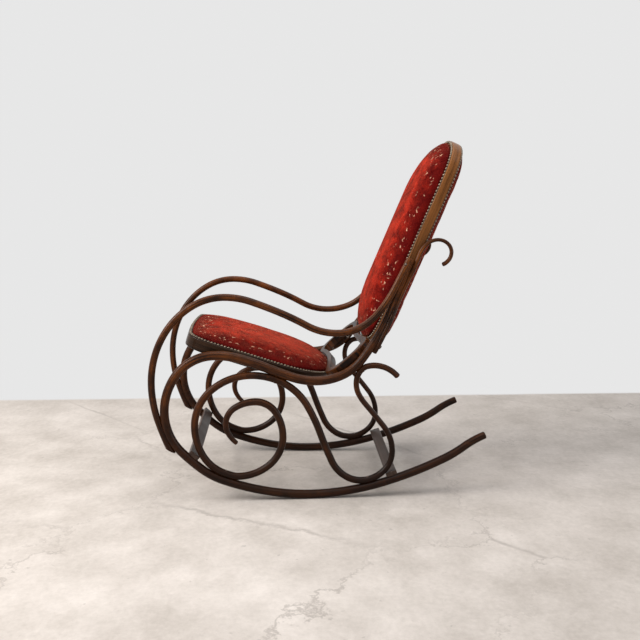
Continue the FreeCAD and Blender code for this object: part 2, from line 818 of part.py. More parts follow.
def scarf_block():
    """What the slanted cut takes off the arm's lower end."""
    point, outward, radius = arm_rod.ends()[1]
    reach = size("scarf_trim") + 4 * radius
    corner = Placement(Vector(-reach, -reach, 0), Rotation())
    slant = Rotation(UP, direction(-90 - size("scarf_angle")))
    return feature("Box", "arm_scarf", Length=2 * reach, Width=2 * reach, Height=reach,
                   Placement=Placement(point - outward * size("scarf_trim"), slant).multiply(corner))


side_left = cut("side_rod_left", side_blank, seat_ring, hoop, back_ring,
                left_holes("side_holes", side_screws))
scroll_left = cut("scroll_leg_left", scroll_blank, side_blank, hoop, seat_ring,
                  left_holes("scroll_holes", scroll_screws))
arm_trimmed = cut("arm_trimmed", arm_blank, scarf_block())
arm_left = cut("arm_left", arm_trimmed, side_blank, left_holes("arm_holes", arm_screws))
prop_left = cut("back_prop_left", prop_blank, side_blank, back_ring, arm_trimmed, hoop)

board_pieces = [
    cut(board.name + "_stretcher", board.blank(), side_blank, other_side_blank,
        all_holes(board.name + "_board_holes", [drive]))
    for board, drive in zip(boards, board_screws)]

pieces = [
    side_left, mirrored("side_rod_right", side_left),
    scroll_left, mirrored("scroll_leg_right", scroll_left),
    arm_left, mirrored("arm_right", arm_left),
    prop_left, mirrored("back_prop_right", prop_left),
    *board_pieces,
    cut("rear_hoop", hoop, back_ring, all_holes("hoop_holes", hoop_screws)),
    cut("seat_ring", seat_ring, rabbet("seat_rabbet", seat_outline, seat_wall, seat_height),
        all_holes("seat_holes", seat_screws)),
    seat_webbing,
    seat_pad,
    seat_band,
    cut("back_ring", back_ring, rabbet("back_front_rabbet", back_outline, back_wall, 0),
        rabbet("back_rear_rabbet", back_outline, back_wall, -back_depth),
        all_holes("back_holes", back_screws)),
    front_webbing,
    rear_webbing,
    front_pad,
    rear_pad,
    front_band,
    rear_band,
    screw_group("scroll_screws", scroll_screws),
    screw_group("seat_screws", seat_screws),
    screw_group("hoop_screws", hoop_screws),
    screw_group("back_screws", back_screws),
    screw_group("stretcher_screws", board_screws),
    screw_group("arm_screws", arm_screws),
]

doc.recompute()
for thing in doc.Objects:
    if "Invalid" in thing.State or "Error" in thing.State:
        raise RuntimeError("%s failed: %s" % (thing.Label, thing.State))
for thing in pieces:
    if thing.Shape.isNull() or not thing.Shape.isValid() or not thing.Shape.Solids:
        raise RuntimeError("%s has no valid shape" % thing.Label)

os.makedirs("parts", exist_ok=True)
box = FreeCAD.BoundBox()
for thing in pieces:
    thing.Shape.exportStep("parts/%s.step" % thing.Label)
    box.add(thing.Shape.optimalBoundingBox(False, False))
    solids = thing.Shape.Solids
    print("%-22s %2d solids %10.0f mm3" % (thing.Label, len(solids), sum(s.Volume for s in solids)))
print("size %.0f x %.0f x %.0f mm" % (box.XLength, box.YLength, box.ZLength))
print("middle %.3f %.3f, lowest %.3f" % (box.Center.x, box.Center.y, box.ZMin))
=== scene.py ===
import math

import bmesh
import bpy
from bpy.props import FloatProperty, FloatVectorProperty, IntProperty, PointerProperty
from mathutils import Matrix, Vector, kdtree


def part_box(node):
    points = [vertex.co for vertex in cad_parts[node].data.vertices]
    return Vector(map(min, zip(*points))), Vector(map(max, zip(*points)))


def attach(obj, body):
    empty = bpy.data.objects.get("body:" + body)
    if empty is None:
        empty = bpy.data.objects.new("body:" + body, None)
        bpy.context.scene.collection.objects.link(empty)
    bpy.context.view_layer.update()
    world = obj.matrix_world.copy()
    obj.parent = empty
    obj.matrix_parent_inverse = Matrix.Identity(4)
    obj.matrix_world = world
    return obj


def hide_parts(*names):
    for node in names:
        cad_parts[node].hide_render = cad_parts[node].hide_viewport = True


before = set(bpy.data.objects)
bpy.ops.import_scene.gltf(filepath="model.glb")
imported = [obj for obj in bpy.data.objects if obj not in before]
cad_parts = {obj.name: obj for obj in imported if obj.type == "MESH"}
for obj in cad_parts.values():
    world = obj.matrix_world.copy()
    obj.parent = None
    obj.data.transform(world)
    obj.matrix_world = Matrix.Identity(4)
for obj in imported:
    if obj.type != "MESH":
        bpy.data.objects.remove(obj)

bl_info = {
    "name": "Bentwood rocking chair",
    "version": (1, 0, 0),
    "blender": (4, 5, 0),
    "location": "View3D > Sidebar > Chair",
    "description": "Finishes a bentwood rocking chair with a velvet seat and back",
    "category": "Object",
}

BODY = "root"
ACROSS = Vector((1, 0, 0))
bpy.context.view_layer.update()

# Planes of the upholstery
SEAT_SLOPE = math.radians(-18.5)
BACK_SLOPE = math.radians(67)

# The photograph: a square frame, seen from the sitter's left, the camera turned a little down
PHOTO_SIDE = 640
PHOTO_FOCAL = 835
CAMERA_PLACE = (2.680, -0.1175, 0.939)
CAMERA_PITCH = math.radians(8.983)
CAMERA_YAW = math.radians(2.709)
SENSOR_WIDTH = 36

# The stage: the white behind the chair, where the floor fades into it, and the lamps
BACKDROP_WHITE = (0.80, 0.80, 0.80, 1)
FLOOR_FADE = (2.6, 5.2)
WALL_LINE_BLUR = 0.012
SKY_COLOUR = (0.93, 0.96, 1.0, 1)
SKY_STRENGTH = 0.20
# Each lamp's name, place, aim, size, power and colour
LAMPS = (
    ("Window", (0.9, -2.9, 2.5), (0, 0, 0.5), (2.2, 1.8), 150, (1.0, 0.97, 0.93)),
    ("Ceiling", (0.3, 0.2, 3.4), (0, 0, 0.4), (3.2, 3.2), 66, (1, 1, 1)),
    ("Rear fill", (1.6, 3.0, 1.4), (0, 0, 0.5), (2.0, 2.0), 24, (1, 1, 1)),
)


class WoodSettings(bpy.types.PropertyGroup):
    rod_dark: FloatVectorProperty(
        name="Rod dark", description="Dark grain of the bent rods", subtype="COLOR",
        min=0, max=1, default=(0.0075, 0.0030, 0.0016))
    rod_light: FloatVectorProperty(
        name="Rod light", description="Light grain of the bent rods", subtype="COLOR",
        min=0, max=1, default=(0.27, 0.078, 0.0155))
    ring_dark: FloatVectorProperty(
        name="Ring dark", description="Dark grain of the back ring", subtype="COLOR",
        min=0, max=1, default=(0.085, 0.029, 0.007))
    ring_light: FloatVectorProperty(
        name="Ring light", description="Light grain of the back ring", subtype="COLOR",
        min=0, max=1, default=(0.32, 0.122, 0.034))
    seat_dark: FloatVectorProperty(
        name="Seat ring dark", description="Dark grain of the seat ring", subtype="COLOR",
        min=0, max=1, default=(0.010, 0.005, 0.003))
    seat_light: FloatVectorProperty(
        name="Seat ring light", description="Light grain of the seat ring", subtype="COLOR",
        min=0, max=1, default=(0.050, 0.024, 0.012))
    board_dark: FloatVectorProperty(
        name="Board dark", description="Dark grain of the stretcher boards", subtype="COLOR",
        min=0, max=1, default=(0.026, 0.016, 0.012))
    board_light: FloatVectorProperty(
        name="Board light", description="Light grain of the stretcher boards", subtype="COLOR",
        min=0, max=1, default=(0.100, 0.064, 0.049))


class VelvetSettings(bpy.types.PropertyGroup):
    # This dark colour is the velvet's dark pile and also its painted shade near the nailed edge.
    deep_and_edge_shade: FloatVectorProperty(
        name="Deep", description="Velvet in the depth of the pile", subtype="COLOR",
        min=0, max=1, default=(0.060, 0.0006, 0.0012))
    bright: FloatVectorProperty(
        name="Bright", description="Velvet where the pile is brushed over", subtype="COLOR",
        min=0, max=1, default=(0.50, 0.027, 0.012))
    fleck: FloatVectorProperty(
        name="Fleck", description="Pale flecks near the edges", subtype="COLOR",
        min=0, max=1, default=(0.72, 0.40, 0.26))
    voxel: FloatProperty(
        name="Mesh step", description="Spacing of the cloth mesh", unit="LENGTH", default=0.0045)
    pressure: FloatProperty(
        name="Pressure", description="Stuffing pressure of the cloth", default=3.0)
    swell_limit: FloatProperty(
        name="Swell limit", description="How far the cloth may move", unit="LENGTH", default=0.0025)
    frames: IntProperty(name="Frames", description="Frames of cloth simulation", default=16)


class TrimSettings(bpy.types.PropertyGroup):
    nail_pitch: FloatProperty(
        name="Nail pitch", description="Distance between nails", unit="LENGTH", default=0.0104)
    nail_radius: FloatProperty(
        name="Nail radius", description="Radius of a nail's dome", unit="LENGTH", default=0.0044)
    nail_rise: FloatProperty(
        name="Nail rise", description="Height of a nail's dome", unit="LENGTH", default=0.0034)
    strap_width: FloatProperty(
        name="Strap width", description="Width of a webbing strap", unit="LENGTH", default=0.050)
    strap_gap: FloatProperty(
        name="Strap gap", description="Gap between webbing straps", unit="LENGTH", default=0.016)
    strap_thickness: FloatProperty(
        name="Strap thickness", description="Thickness of a strap", unit="LENGTH", default=0.0016)


class StageSettings(bpy.types.PropertyGroup):
    floor_size: FloatProperty(
        name="Floor size", description="Length of the floor's sides", unit="LENGTH", default=14)
    wall_line: FloatProperty(
        name="Wall line", description="Where the floor turns white behind the chair",
        unit="LENGTH", default=-1.02)


# Small tools for meshes


def settings():
    return bpy.context.scene.chair


def link(obj):
    bpy.context.scene.collection.objects.link(obj)
    return obj


def mesh_object(name, points, faces):
    mesh = bpy.data.meshes.new(name)
    mesh.from_pydata([tuple(p) for p in points], [], faces)
    mesh.validate()
    mesh.update()
    return link(bpy.data.objects.new(name, mesh))


def smooth(obj):
    for face in obj.data.polygons:
        face.use_smooth = True


def finish_piece(obj, material, slot, *nodes):
    """Give a piece its material and its body, and hide the nodes it stands for; the slot is not
    used.
    """
    obj.data.materials.clear()
    obj.data.materials.append(material)
    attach(obj, BODY)
    if nodes:
        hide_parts(*nodes)


def settle(obj, name):
    """The evaluated object as a plain mesh, with its modifiers gone."""
    graph = bpy.context.evaluated_depsgraph_get()
    graph.update()
    mesh = bpy.data.meshes.new_from_object(obj.evaluated_get(graph))
    obj.modifiers.clear()
    obj.data = mesh
    mesh.name = name


def set_attribute(obj, name, values):
    layer = obj.data.attributes.new(name, "FLOAT", "POINT")
    layer.data.foreach_set("value", values)


class Datum:
    """The flat plane of a ring: across the chair, along it, and up from it."""

    def __init__(self, node, angle, upward=1):
        self.along = Vector((0, math.cos(angle), math.sin(angle)))
        self.up = Vector((0, -math.sin(angle), math.cos(angle))) * upward
        low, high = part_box(node)
        self.origin = (low + high) / 2
        self.origin.x = 0

    def local(self, point):
        offset = point - self.origin
        return Vector((offset.x, offset.dot(self.along), offset.dot(self.up)))

    def world(self, x, s, h):
        return self.origin + ACROSS * x + self.along * s + self.up * h


def node_points(node, datum):
    """A CAD node's vertices in a datum's own coordinates."""
    return [datum.local(v.co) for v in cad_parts[node].data.vertices]


def hull_loop(points):
    """The convex outline of points in plan, anticlockwise."""
    flat = sorted({(round(p.x, 6), round(p.y, 6)) for p in points})

    def half(order):
        chain = []
        for p in order:
            while len(chain) > 1 and turn(chain[-2], chain[-1], p) <= 0:
                chain.pop()
            chain.append(p)
        return chain[:-1]

    return [Vector(p) for p in half(flat) + half(reversed(flat))]


def turn(a, b, c):
    return (b[0] - a[0]) * (c[1] - a[1]) - (b[1] - a[1]) * (c[0] - a[0])


def even_loop(points, count, softening=4):
    """A closed loop with evenly spaced points, its corners softened."""
    lengths = [0.0]
    for a, b in zip(points, points[1:] + points[:1]):
        lengths.append(lengths[-1] + (b - a).length)
    loop = []
    segment = 0
    for i in range(count):
        want = lengths[-1] * i / count
        while lengths[segment + 1] < want:
            segment += 1
        a, b = points[segment], points[(segment + 1) % len(points)]
        share = (want - lengths[segment]) / (lengths[segment + 1] - lengths[segment])
        loop.append(a.lerp(b, share))
    for step in range(softening):
        loop = [(loop[i - 1] + loop[i] * 2 + loop[(i + 1) % count]) / 4 for i in range(count)]
    return loop


def inward(loop, distance):
    """The loop moved inward by a distance, along its own normals."""
    count = len(loop)
    moved = []
    for i in range(count):
        run = (loop[(i + 1) % count] - loop[i - 1]).normalized()
        moved.append(loop[i] + Vector((-run.y, run.x)) * distance)
    return moved


# Materials


class Nodes:
    """A short way to write a material's nodes."""

    def __init__(self, name):
        self.material = bpy.data.materials.get(name) or bpy.data.materials.new(name)
        self.material.use_nodes = True
        self.tree = self.material.node_tree
        self.tree.nodes.clear()
        self.output = self.tree.nodes.new("ShaderNodeOutputMaterial")

    def add(self, kind, inputs=None, **traits):
        node = self.tree.nodes.new("ShaderNode" + kind)
        for key, value in traits.items():
            setattr(node, key, value)
        for key, value in (inputs or {}).items():
            self.put(node.inputs[key], value)
        return node

    def put(self, socket, value):
        if isinstance(value, bpy.types.NodeSocket):
            self.tree.links.new(value, socket)
        else:
            socket.default_value = value

    def math(self, operation, a, b=0.0, clamp=False):
        return self.add("Math", {0: a, 1: b}, operation=operation, use_clamp=clamp).outputs[0]

    def mix(self, factor, a, b):
        node = self.add("Mix", data_type="RGBA")
        self.put(node.inputs[0], factor)
        self.put(node.inputs[6], a)
        self.put(node.inputs[7], b)
        return node.outputs[2]

    def ramp(self, factor, low, high, low_value=0.0, high_value=1.0):
        node = self.add("MapRange", {0: factor, 1: low, 2: high, 3: low_value, 4: high_value})
        return node.outputs[0]

    def noise(self, vector, scale, detail=4.0, rough=0.55, kind="3D"):
        node = self.add("TexNoise", {"Vector": vector, "Scale": scale, "Detail": detail,
                                     "Roughness": rough}, noise_dimensions=kind)
        return node.outputs[0]

    def place(self):
        return self.add("TexCoord").outputs["Object"]

    def parts(self, vector):
        node = self.add("SeparateXYZ", {0: vector})
        return node.outputs[0], node.outputs[1], node.outputs[2]

    def vector(self, x, y, z):
        return self.add("CombineXYZ", {0: x, 1: y, 2: z}).outputs[0]

    def attribute(self, name):
        return self.add("Attribute", attribute_name=name).outputs["Fac"]

    def scaled(self, x, y, z, factors):
        """A place whose three axes are stretched, each by its own factor."""
        return self.vector(*(self.math("MULTIPLY", axis, factor)
                             for axis, factor in zip((x, y, z), factors)))

    def bump(self, height, strength, distance):
        inputs = {"Height": height, "Strength": strength, "Distance": distance}
        return self.add("Bump", inputs).outputs[0]

    def surface(self, **values):
        """A Principled shader; an underscore stands for a space in its sockets' names."""
        inputs = {key.replace("_", " "): value for key, value in values.items()}
        shader = self.add("BsdfPrincipled", inputs)
        self.tree.links.new(shader.outputs[0], self.output.inputs[0])
        return self.material


def rgba(colour):
    return (colour[0], colour[1], colour[2], 1.0)


def bent_wood(name, dark, light):
    """Polished bent wood, whose grain runs along the rod.

    The side of the rod that a point lies on stays the same along it, so streaks that depend on
    the surface's direction across the chair follow every bend.
    """
    n = Nodes(name)
    place = n.place()
    x, y, z = n.parts(place)
    side = n.parts(n.add("TexCoord").outputs["Normal"])[0]
    grain = n.noise(n.scaled(side, y, z, (9.0, 2.6, 2.6)), 1.5, 6.0, 0.62)
    fine = n.noise(n.scaled(side, y, z, (48.0, 9.0, 9.0)), 1.3, 3.0, 0.6)
    cloud = n.noise(place, 6.0, 3.0)
    streak = n.ramp(grain, 0.34, 0.68)
    tone = n.math("ADD", n.math("MULTIPLY", streak, 0.62), n.math("MULTIPLY", cloud, 0.42))
    tone = n.math("ADD", tone, n.math("MULTIPLY", n.math("SUBTRACT", fine, 0.5), 0.5), clamp=True)
    # The rods' colour runs darker towards the bottom of the chair and lighter higher up; the
    # lighter rubbed patches also keep to the higher parts.
    lighter_higher_up = n.ramp(z, 0.12, 0.66, 0.14, 1.0)
    colour = n.mix(n.math("MULTIPLY", n.ramp(tone, 0.26, 0.86), lighter_higher_up), rgba(dark), rgba(light))
    grime = n.ramp(n.noise(place, 15.0, 4.0, 0.65), 0.44, 0.62, 0.0, 0.62)
    colour = n.mix(grime, colour, rgba(dark))
    pores = n.ramp(fine, 0.30, 0.46)
    colour = n.mix(n.ramp(pores, 0.0, 1.0, 0.35, 0.0), colour, (0.012, 0.005, 0.003, 1))
    rubbed = n.ramp(n.noise(place, 34.0, 5.0, 0.7), 0.60, 0.78, 0.0, 0.30)
    worn = n.math("MULTIPLY", rubbed, lighter_higher_up)
    colour = n.mix(worn, colour, rgba([min(1, c * 1.7) for c in light]))
    rough = n.ramp(n.math("ADD", cloud, n.math("MULTIPLY", fine, 0.35)), 0.35, 0.95, 0.20, 0.44)
    normal = n.bump(n.math("ADD", grain, n.math("MULTIPLY", fine, 0.5)), 0.30, 0.0006)
    return n.surface(Base_Color=colour, Roughness=rough, Normal=normal, Specular_IOR_Level=0.13)


def ring_wood(name, dark, light, angle):
    """Bent wood of a flat ring: its grain follows the ring, so it is even in height."""
    n = Nodes(name)
    place = n.place()
    turned = n.add("Mapping", {"Vector": place, "Rotation": (-angle, 0, 0)}).outputs[0]
    x, y, z = n.parts(turned)
    grain = n.noise(n.scaled(x, y, z, (2.2, 2.2, 90.0)), 1.6, 5.0, 0.6)
    fine = n.noise(n.scaled(x, y, z, (14.0, 14.0, 420.0)), 1.4, 3.0, 0.6)
    cloud = n.noise(place, 7.0, 3.0)
    tone = n.math("ADD", n.math("MULTIPLY", n.ramp(grain, 0.3, 0.7), 0.6),
                  n.math("MULTIPLY", cloud, 0.4))
    tone = n.math("ADD", tone, n.math("MULTIPLY", n.math("SUBTRACT", fine, 0.5), 0.35), clamp=True)
    colour = n.mix(n.ramp(tone, 0.15, 0.85), rgba(dark), rgba(light))
    rough = n.ramp(n.math("ADD", cloud, fine), 0.7, 1.3, 0.22, 0.40)
    normal = n.bump(n.math("ADD", grain, fine), 0.22, 0.0005)
    return n.surface(Base_Color=colour, Roughness=rough, Normal=normal, Coat_Weight=0.05,
                     Coat_Roughness=0.12, Specular_IOR_Level=0.08)


def board_wood(name, dark, light):
    """Flat sawn wood, its grain along the board."""
    n = Nodes(name)
    place = n.place()
    x, y, z = n.parts(place)
    grain = n.noise(n.scaled(x, y, z, (2.0, 60.0, 60.0)), 1.5, 6.0, 0.6)
    cloud = n.noise(place, 9.0, 3.0)
    tone = n.math("ADD", n.math("MULTIPLY", n.ramp(grain, 0.3, 0.7), 0.65),
                  n.math("MULTIPLY", cloud, 0.35))
    colour = n.mix(tone, rgba(dark), rgba(light))
    rough = n.ramp(cloud, 0.3, 0.7, 0.30, 0.5)
    return n.surface(Base_Color=colour, Roughness=rough, Normal=n.bump(grain, 0.3, 0.0006),
                     Specular_IOR_Level=0.12)


# The spacing of the velvet's pale flecks along its border, in metres
FLECK_PITCH = 0.034


def velvet(name):
    """Cut velvet with brushed patches, a fine pile, pale flecks along its border and painted shade
    near its nailed edge.
    """
    tones = settings().velvet
    n = Nodes(name)
    place = n.place()
    pile = n.noise(place, 900.0, 2.0, 0.7)
    brushed = n.noise(place, 26.0, 5.0, 0.65)
    ribs = n.noise(place, 260.0, 3.0, 0.7)
    tone = n.math("ADD", n.math("MULTIPLY", n.ramp(brushed, 0.32, 0.68), 0.40),
                  n.math("MULTIPLY", n.ramp(ribs, 0.3, 0.7), 0.48))
    tone = n.math("ADD", tone, n.math("MULTIPLY", pile, 0.2), clamp=True)
    run = n.attribute("run")
    rise = n.attribute("rise")
    # Painted shade: towards the nailed edge the velvet is drawn to its dark colour, where the pad
    # curves down to the ring.
    painted_edge_shade = n.math("ADD", rise, n.math("MULTIPLY", n.math("SUBTRACT", brushed, 0.5), 0.10))
    painted_edge_shade = n.ramp(painted_edge_shade, 0.030, 0.112, 0.17, 1.0)
    tone = n.math("MULTIPLY", n.ramp(tone, 0.28, 0.80), painted_edge_shade, clamp=True)
    colour = n.mix(tone, rgba(tones.deep_and_edge_shade), rgba(tones.bright))
    fleck_run = n.math("MULTIPLY", run, 1 / FLECK_PITCH)
    fleck_rise = n.math("MULTIPLY", rise, 1 / FLECK_PITCH)
    border = n.vector(fleck_run, fleck_rise, 0.0)
    bend = n.math("MULTIPLY", n.noise(border, 1.2, 2.0, kind="2D"), 0.8)
    bent = n.vector(n.math("ADD", fleck_run, bend), n.math("ADD", fleck_rise, bend), 0.0)
    cells = n.add("TexVoronoi", {"Vector": bent, "Scale": 1.0, "Randomness": 0.8},
                  voronoi_dimensions="2D").outputs["Distance"]
    curl = n.math("ABSOLUTE", n.math("SUBTRACT", cells, 0.25))
    curl = n.ramp(curl, 0.035, 0.085, 1.0, 0.0)
    broken = n.ramp(n.noise(border, 2.3, 3.0, 0.6, "2D"), 0.53, 0.62)
    near_edge = n.math("MULTIPLY", n.ramp(rise, 0.022, 0.030),
                       n.ramp(rise, 0.058, 0.072, 1.0, 0.0))
    fleck = n.math("MULTIPLY", n.math("MULTIPLY", curl, broken), near_edge, clamp=True)
    fleck = n.math("MULTIPLY", fleck, n.ramp(ribs, 0.35, 0.55, 0.3, 1.0))
    colour = n.mix(fleck, colour, rgba(tones.fleck))
    height = n.math("ADD", n.math("MULTIPLY", pile, 0.35), n.math("MULTIPLY", ribs, 0.8))
    height = n.math("ADD", height, brushed)
    normal = n.bump(height, 0.8, 0.0026)
    return n.surface(Base_Color=colour, Roughness=0.92, Normal=normal, Specular_IOR_Level=0.05,
                     Sheen_Weight=0.30, Sheen_Roughness=0.32, Sheen_Tint=(1.0, 0.30, 0.17, 1.0))


def nail_metal():
    """Antique brass nail heads, patchy with age."""
    n = Nodes("Antique brass")
    place = n.place()
    patina = n.noise(place, 260.0, 4.0, 0.6)
    spots = n.noise(place, 60.0, 3.0)
    tone = n.math("ADD", n.math("MULTIPLY", patina, 0.6), n.math("MULTIPLY", spots, 0.5))
    colour = n.mix(n.ramp(tone, 0.35, 0.75), (0.035, 0.026, 0.020, 1), (0.27, 0.21, 0.15, 1))
    rough = n.ramp(patina, 0.3, 0.7, 0.28, 0.5)
    return n.surface(Base_Color=colour, Roughness=rough, Metallic=0.9,
                     Normal=n.bump(patina, 0.2, 0.0004))


def screw_metal():
    """Dull iron screws with a little rust."""
    n = Nodes("Old iron")
    place = n.place()
    rust = n.noise(place, 420.0, 4.0, 0.65)
    colour = n.mix(n.ramp(rust, 0.42, 0.66), (0.16, 0.14, 0.125, 1), (0.10, 0.042, 0.020, 1))
    rough = n.ramp(rust, 0.35, 0.7, 0.30, 0.62)
    return n.surface(Base_Color=colour, Roughness=rough, Metallic=0.85,
                     Normal=n.bump(rust, 0.25, 0.0003))


def braid_cloth():
    """Plaited braid: two slanted sets of threads that cross over each other."""
    n = Nodes("Braid")
    run = n.attribute("run")
    over = n.attribute("over")
    turns_along = n.math("MULTIPLY", run, 2600.0)
    turns_over = n.math("MULTIPLY", over, 1900.0)
    one_way = n.math("SINE", n.math("ADD", turns_along, turns_over))
    other_way = n.math("SINE", n.math("SUBTRACT", turns_along, turns_over))
    plait = n.ramp(n.math("MAXIMUM", one_way, other_way), -0.6, 1.0)
    fuzz = n.noise(n.place(), 1500.0, 2.0)
    colour = n.mix(plait, (0.018, 0.011, 0.008, 1), (0.085, 0.060, 0.042, 1))
    colour = n.mix(n.math("MULTIPLY", fuzz, 0.4), colour, (0.14, 0.10, 0.07, 1))
    return n.surface(Base_Color=colour, Roughness=0.85, Normal=n.bump(plait, 0.6, 0.0008),
                     Sheen_Weight=0.2)


def jute(name, pitch, warm, cool):
    """Coarse woven jute, over and under, on the object's own axes."""
    n = Nodes(name)
    place = n.place()
    x, y, z = n.parts(place)
    turns = 2 * math.pi / pitch
    warp = n.math("SINE", n.math("MULTIPLY", x, turns))
    weft = n.math("SINE", n.math("MULTIPLY", y, turns))
    cloth = n.ramp(n.math("MULTIPLY", warp, weft), -1.0, 1.0)
    slub = n.noise(n.vector(n.math("MULTIPLY", x, 3.0), n.math("MULTIPLY", y, 0.4), z), 160.0, 3.0)
    colour = n.mix(n.ramp(n.math("ADD", cloth, slub), 0.5, 1.4), rgba(cool), rgba(warm))
    return n.surface(Base_Color=colour, Roughness=0.95, Normal=n.bump(cloth, 0.7, 0.0010),
                     Sheen_Weight=0.15)


def floor_stone(wall_line):
    """Pale cracked stone near the chair, and plain white beyond the wall line and far off."""
    n = Nodes("Pale floor")
    place = n.place()
    x, y, z = n.parts(place)
    broad = n.noise(place, 1.7, 4.0, 0.6)
    blots = n.noise(place, 6.5, 5.0, 0.7)
    grit = n.noise(place, 60.0, 3.0, 0.7)
    tone = n.math("ADD", n.math("MULTIPLY", broad, 0.5), n.math("MULTIPLY", blots, 0.5))
    tone = n.math("ADD", tone, n.math("MULTIPLY", n.math("SUBTRACT", grit, 0.5), 0.25))
    stone = n.mix(n.ramp(tone, 0.30, 0.70), (0.42, 0.375, 0.335, 1), (0.72, 0.66, 0.615, 1))
    wander = n.math("MULTIPLY", blots, 0.35)
    crack_place = n.vector(n.math("ADD", x, wander), n.math("ADD", y, wander), z)
    cracks = n.add("TexVoronoi", {"Vector": crack_place, "Scale": 1.1, "Randomness": 0.9},
                   feature="DISTANCE_TO_EDGE").outputs["Distance"]
    crack = n.math("MULTIPLY", n.ramp(cracks, 0.0, 0.010, 1.0, 0.0), n.ramp(broad, 0.40, 0.60))
    stone = n.mix(n.math("MULTIPLY", crack, 0.45), stone, (0.20, 0.17, 0.15, 1))
    specks = n.ramp(n.noise(place, 34.0, 2.0, 0.5), 0.70, 0.76, 0.0, 0.35)
    stone = n.mix(specks, stone, (0.24, 0.21, 0.19, 1))
    shader = n.add("BsdfPrincipled", {"Base Color": stone, "Roughness": 0.75,
                                      "Normal": n.bump(tone, 0.2, 0.002)})
    white = n.add("Emission", {"Color": BACKDROP_WHITE, "Strength": 1.0})
    rays = n.add("LightPath")
    seen = n.math("MAXIMUM", rays.outputs["Is Camera Ray"], rays.outputs["Is Glossy Ray"])
    seen = n.math("MAXIMUM", seen, rays.outputs["Is Transmission Ray"])
    edge = n.math("ADD", x, n.math("MULTIPLY", n.math("SUBTRACT", blots, 0.5), 0.02))
    beyond = n.ramp(edge, wall_line - WALL_LINE_BLUR, wall_line + WALL_LINE_BLUR, 1.0, 0.0)
    reach = n.math("SQRT", n.math("ADD", n.math("MULTIPLY", x, x), n.math("MULTIPLY", y, y)))
    beyond = n.math("MAXIMUM", beyond, n.ramp(reach, *FLOOR_FADE))
    blend = n.add("MixShader", {0: n.math("MULTIPLY", beyond, seen)})
    n.tree.links.new(shader.outputs[0], blend.inputs[1])
    n.tree.links.new(white.outputs[0], blend.inputs[2])
    n.tree.links.new(blend.outputs[0], n.output.inputs[0])
    return n.material


# The wood and the screws


def paint(nodes, material):
    """Put a material on CAD nodes that are shown as they are."""
    for name in nodes:
        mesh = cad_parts[name].data
        mesh.materials.clear()
        mesh.materials.append(material)


class CHAIR_OT_rods(bpy.types.Operator):
    """Finish the bent rods, the hoop, the rings and the boards"""
    bl_idname = "chair.rods"
    bl_label = "Finish the wood"

    def execute(self, context):
        wood = settings().wood
        rods = ["%s_%s" % (rod, side) for rod in ("side_rod", "scroll_leg", "arm", "back_prop")
                for side in ("left", "right")]
        paint(rods + ["rear_hoop"], bent_wood("Bent walnut", wood.rod_dark, wood.rod_light))
        paint(["seat_ring"],
              ring_wood("Seat ring wood", wood.seat_dark, wood.seat_light, SEAT_SLOPE))
        paint(["back_ring"],
              ring_wood("Back ring wood", wood.ring_dark, wood.ring_light, BACK_SLOPE))
        paint(["front_stretcher", "rear_stretcher"],
              board_wood("Board wood", wood.board_dark, wood.board_light))
        return {"FINISHED"}


class CHAIR_OT_screws(bpy.types.Operator):
    """Finish the screws"""
    bl_idname = "chair.screws"
    bl_label = "Finish the screws"

    def execute(self, context):
        groups = ("scroll", "seat", "hoop", "back", "stretcher", "arm")
        paint([group + "_screws" for group in groups], screw_metal())
        return {"FINISHED"}


# The pads, in metres: the height up to which a pad is nailed and above which it is softened, the
# reach and depth of its puckers, and where its sides swell out over the nails
NAILED_HEIGHT = 0.005
SOFT_HEIGHT = 0.004
SOFTENING = 14
OUTLINE_STEPS = 600
PUCKER_REACH = 0.011
PUCKER_DEPTH = 0.0006
PUCKER_START = 0.0015
SIDE_FOOT = 0.003
SIDE_HEIGHT = 0.030
SIDE_REACH = 0.015
LEAST_RISE = 0.0003


def swell(obj, pinned):
    """Cloth under stuffing pressure, held where it is nailed."""
    stuffing = settings().velvet
    rest = [v.co.copy() for v in obj.data.vertices]
    group = obj.vertex_groups.new(name="nailed")
    group.add(pinned, 1.0, "REPLACE")
    cloth = obj.modifiers.new("Cloth", "CLOTH")
    cloth.settings.quality = 5
    cloth.settings.mass = 0.35
    cloth.settings.tension_stiffness = 18
    cloth.settings.compression_stiffness = 18
    cloth.settings.shear_stiffness = 6
    cloth.settings.bending_stiffness = 1.5
    cloth.settings.use_pressure = True
    cloth.settings.uniform_pressure_force = stuffing.pressure
    cloth.settings.effector_weights.gravity = 0
    cloth.settings.vertex_group_mass = "nailed"
    cloth.settings.shrink_min = -0.012
    cloth.collision_settings.use_collision = False
    cloth.collision_settings.use_self_collision = False
    cloth.point_cache.frame_start = 1
    cloth.point_cache.frame_end = stuffing.frames
    scene = bpy.context.scene
    for number in range(1, stuffing.frames + 1):
        scene.frame_set(number)
    settle(obj, obj.name)
    scene.frame_set(1)
    limit = stuffing.swell_limit
    for vertex, start in zip(obj.data.vertices, rest):
        moved = vertex.co - start
        if moved.length > limit:
            vertex.co = start + moved.normalized() * limit


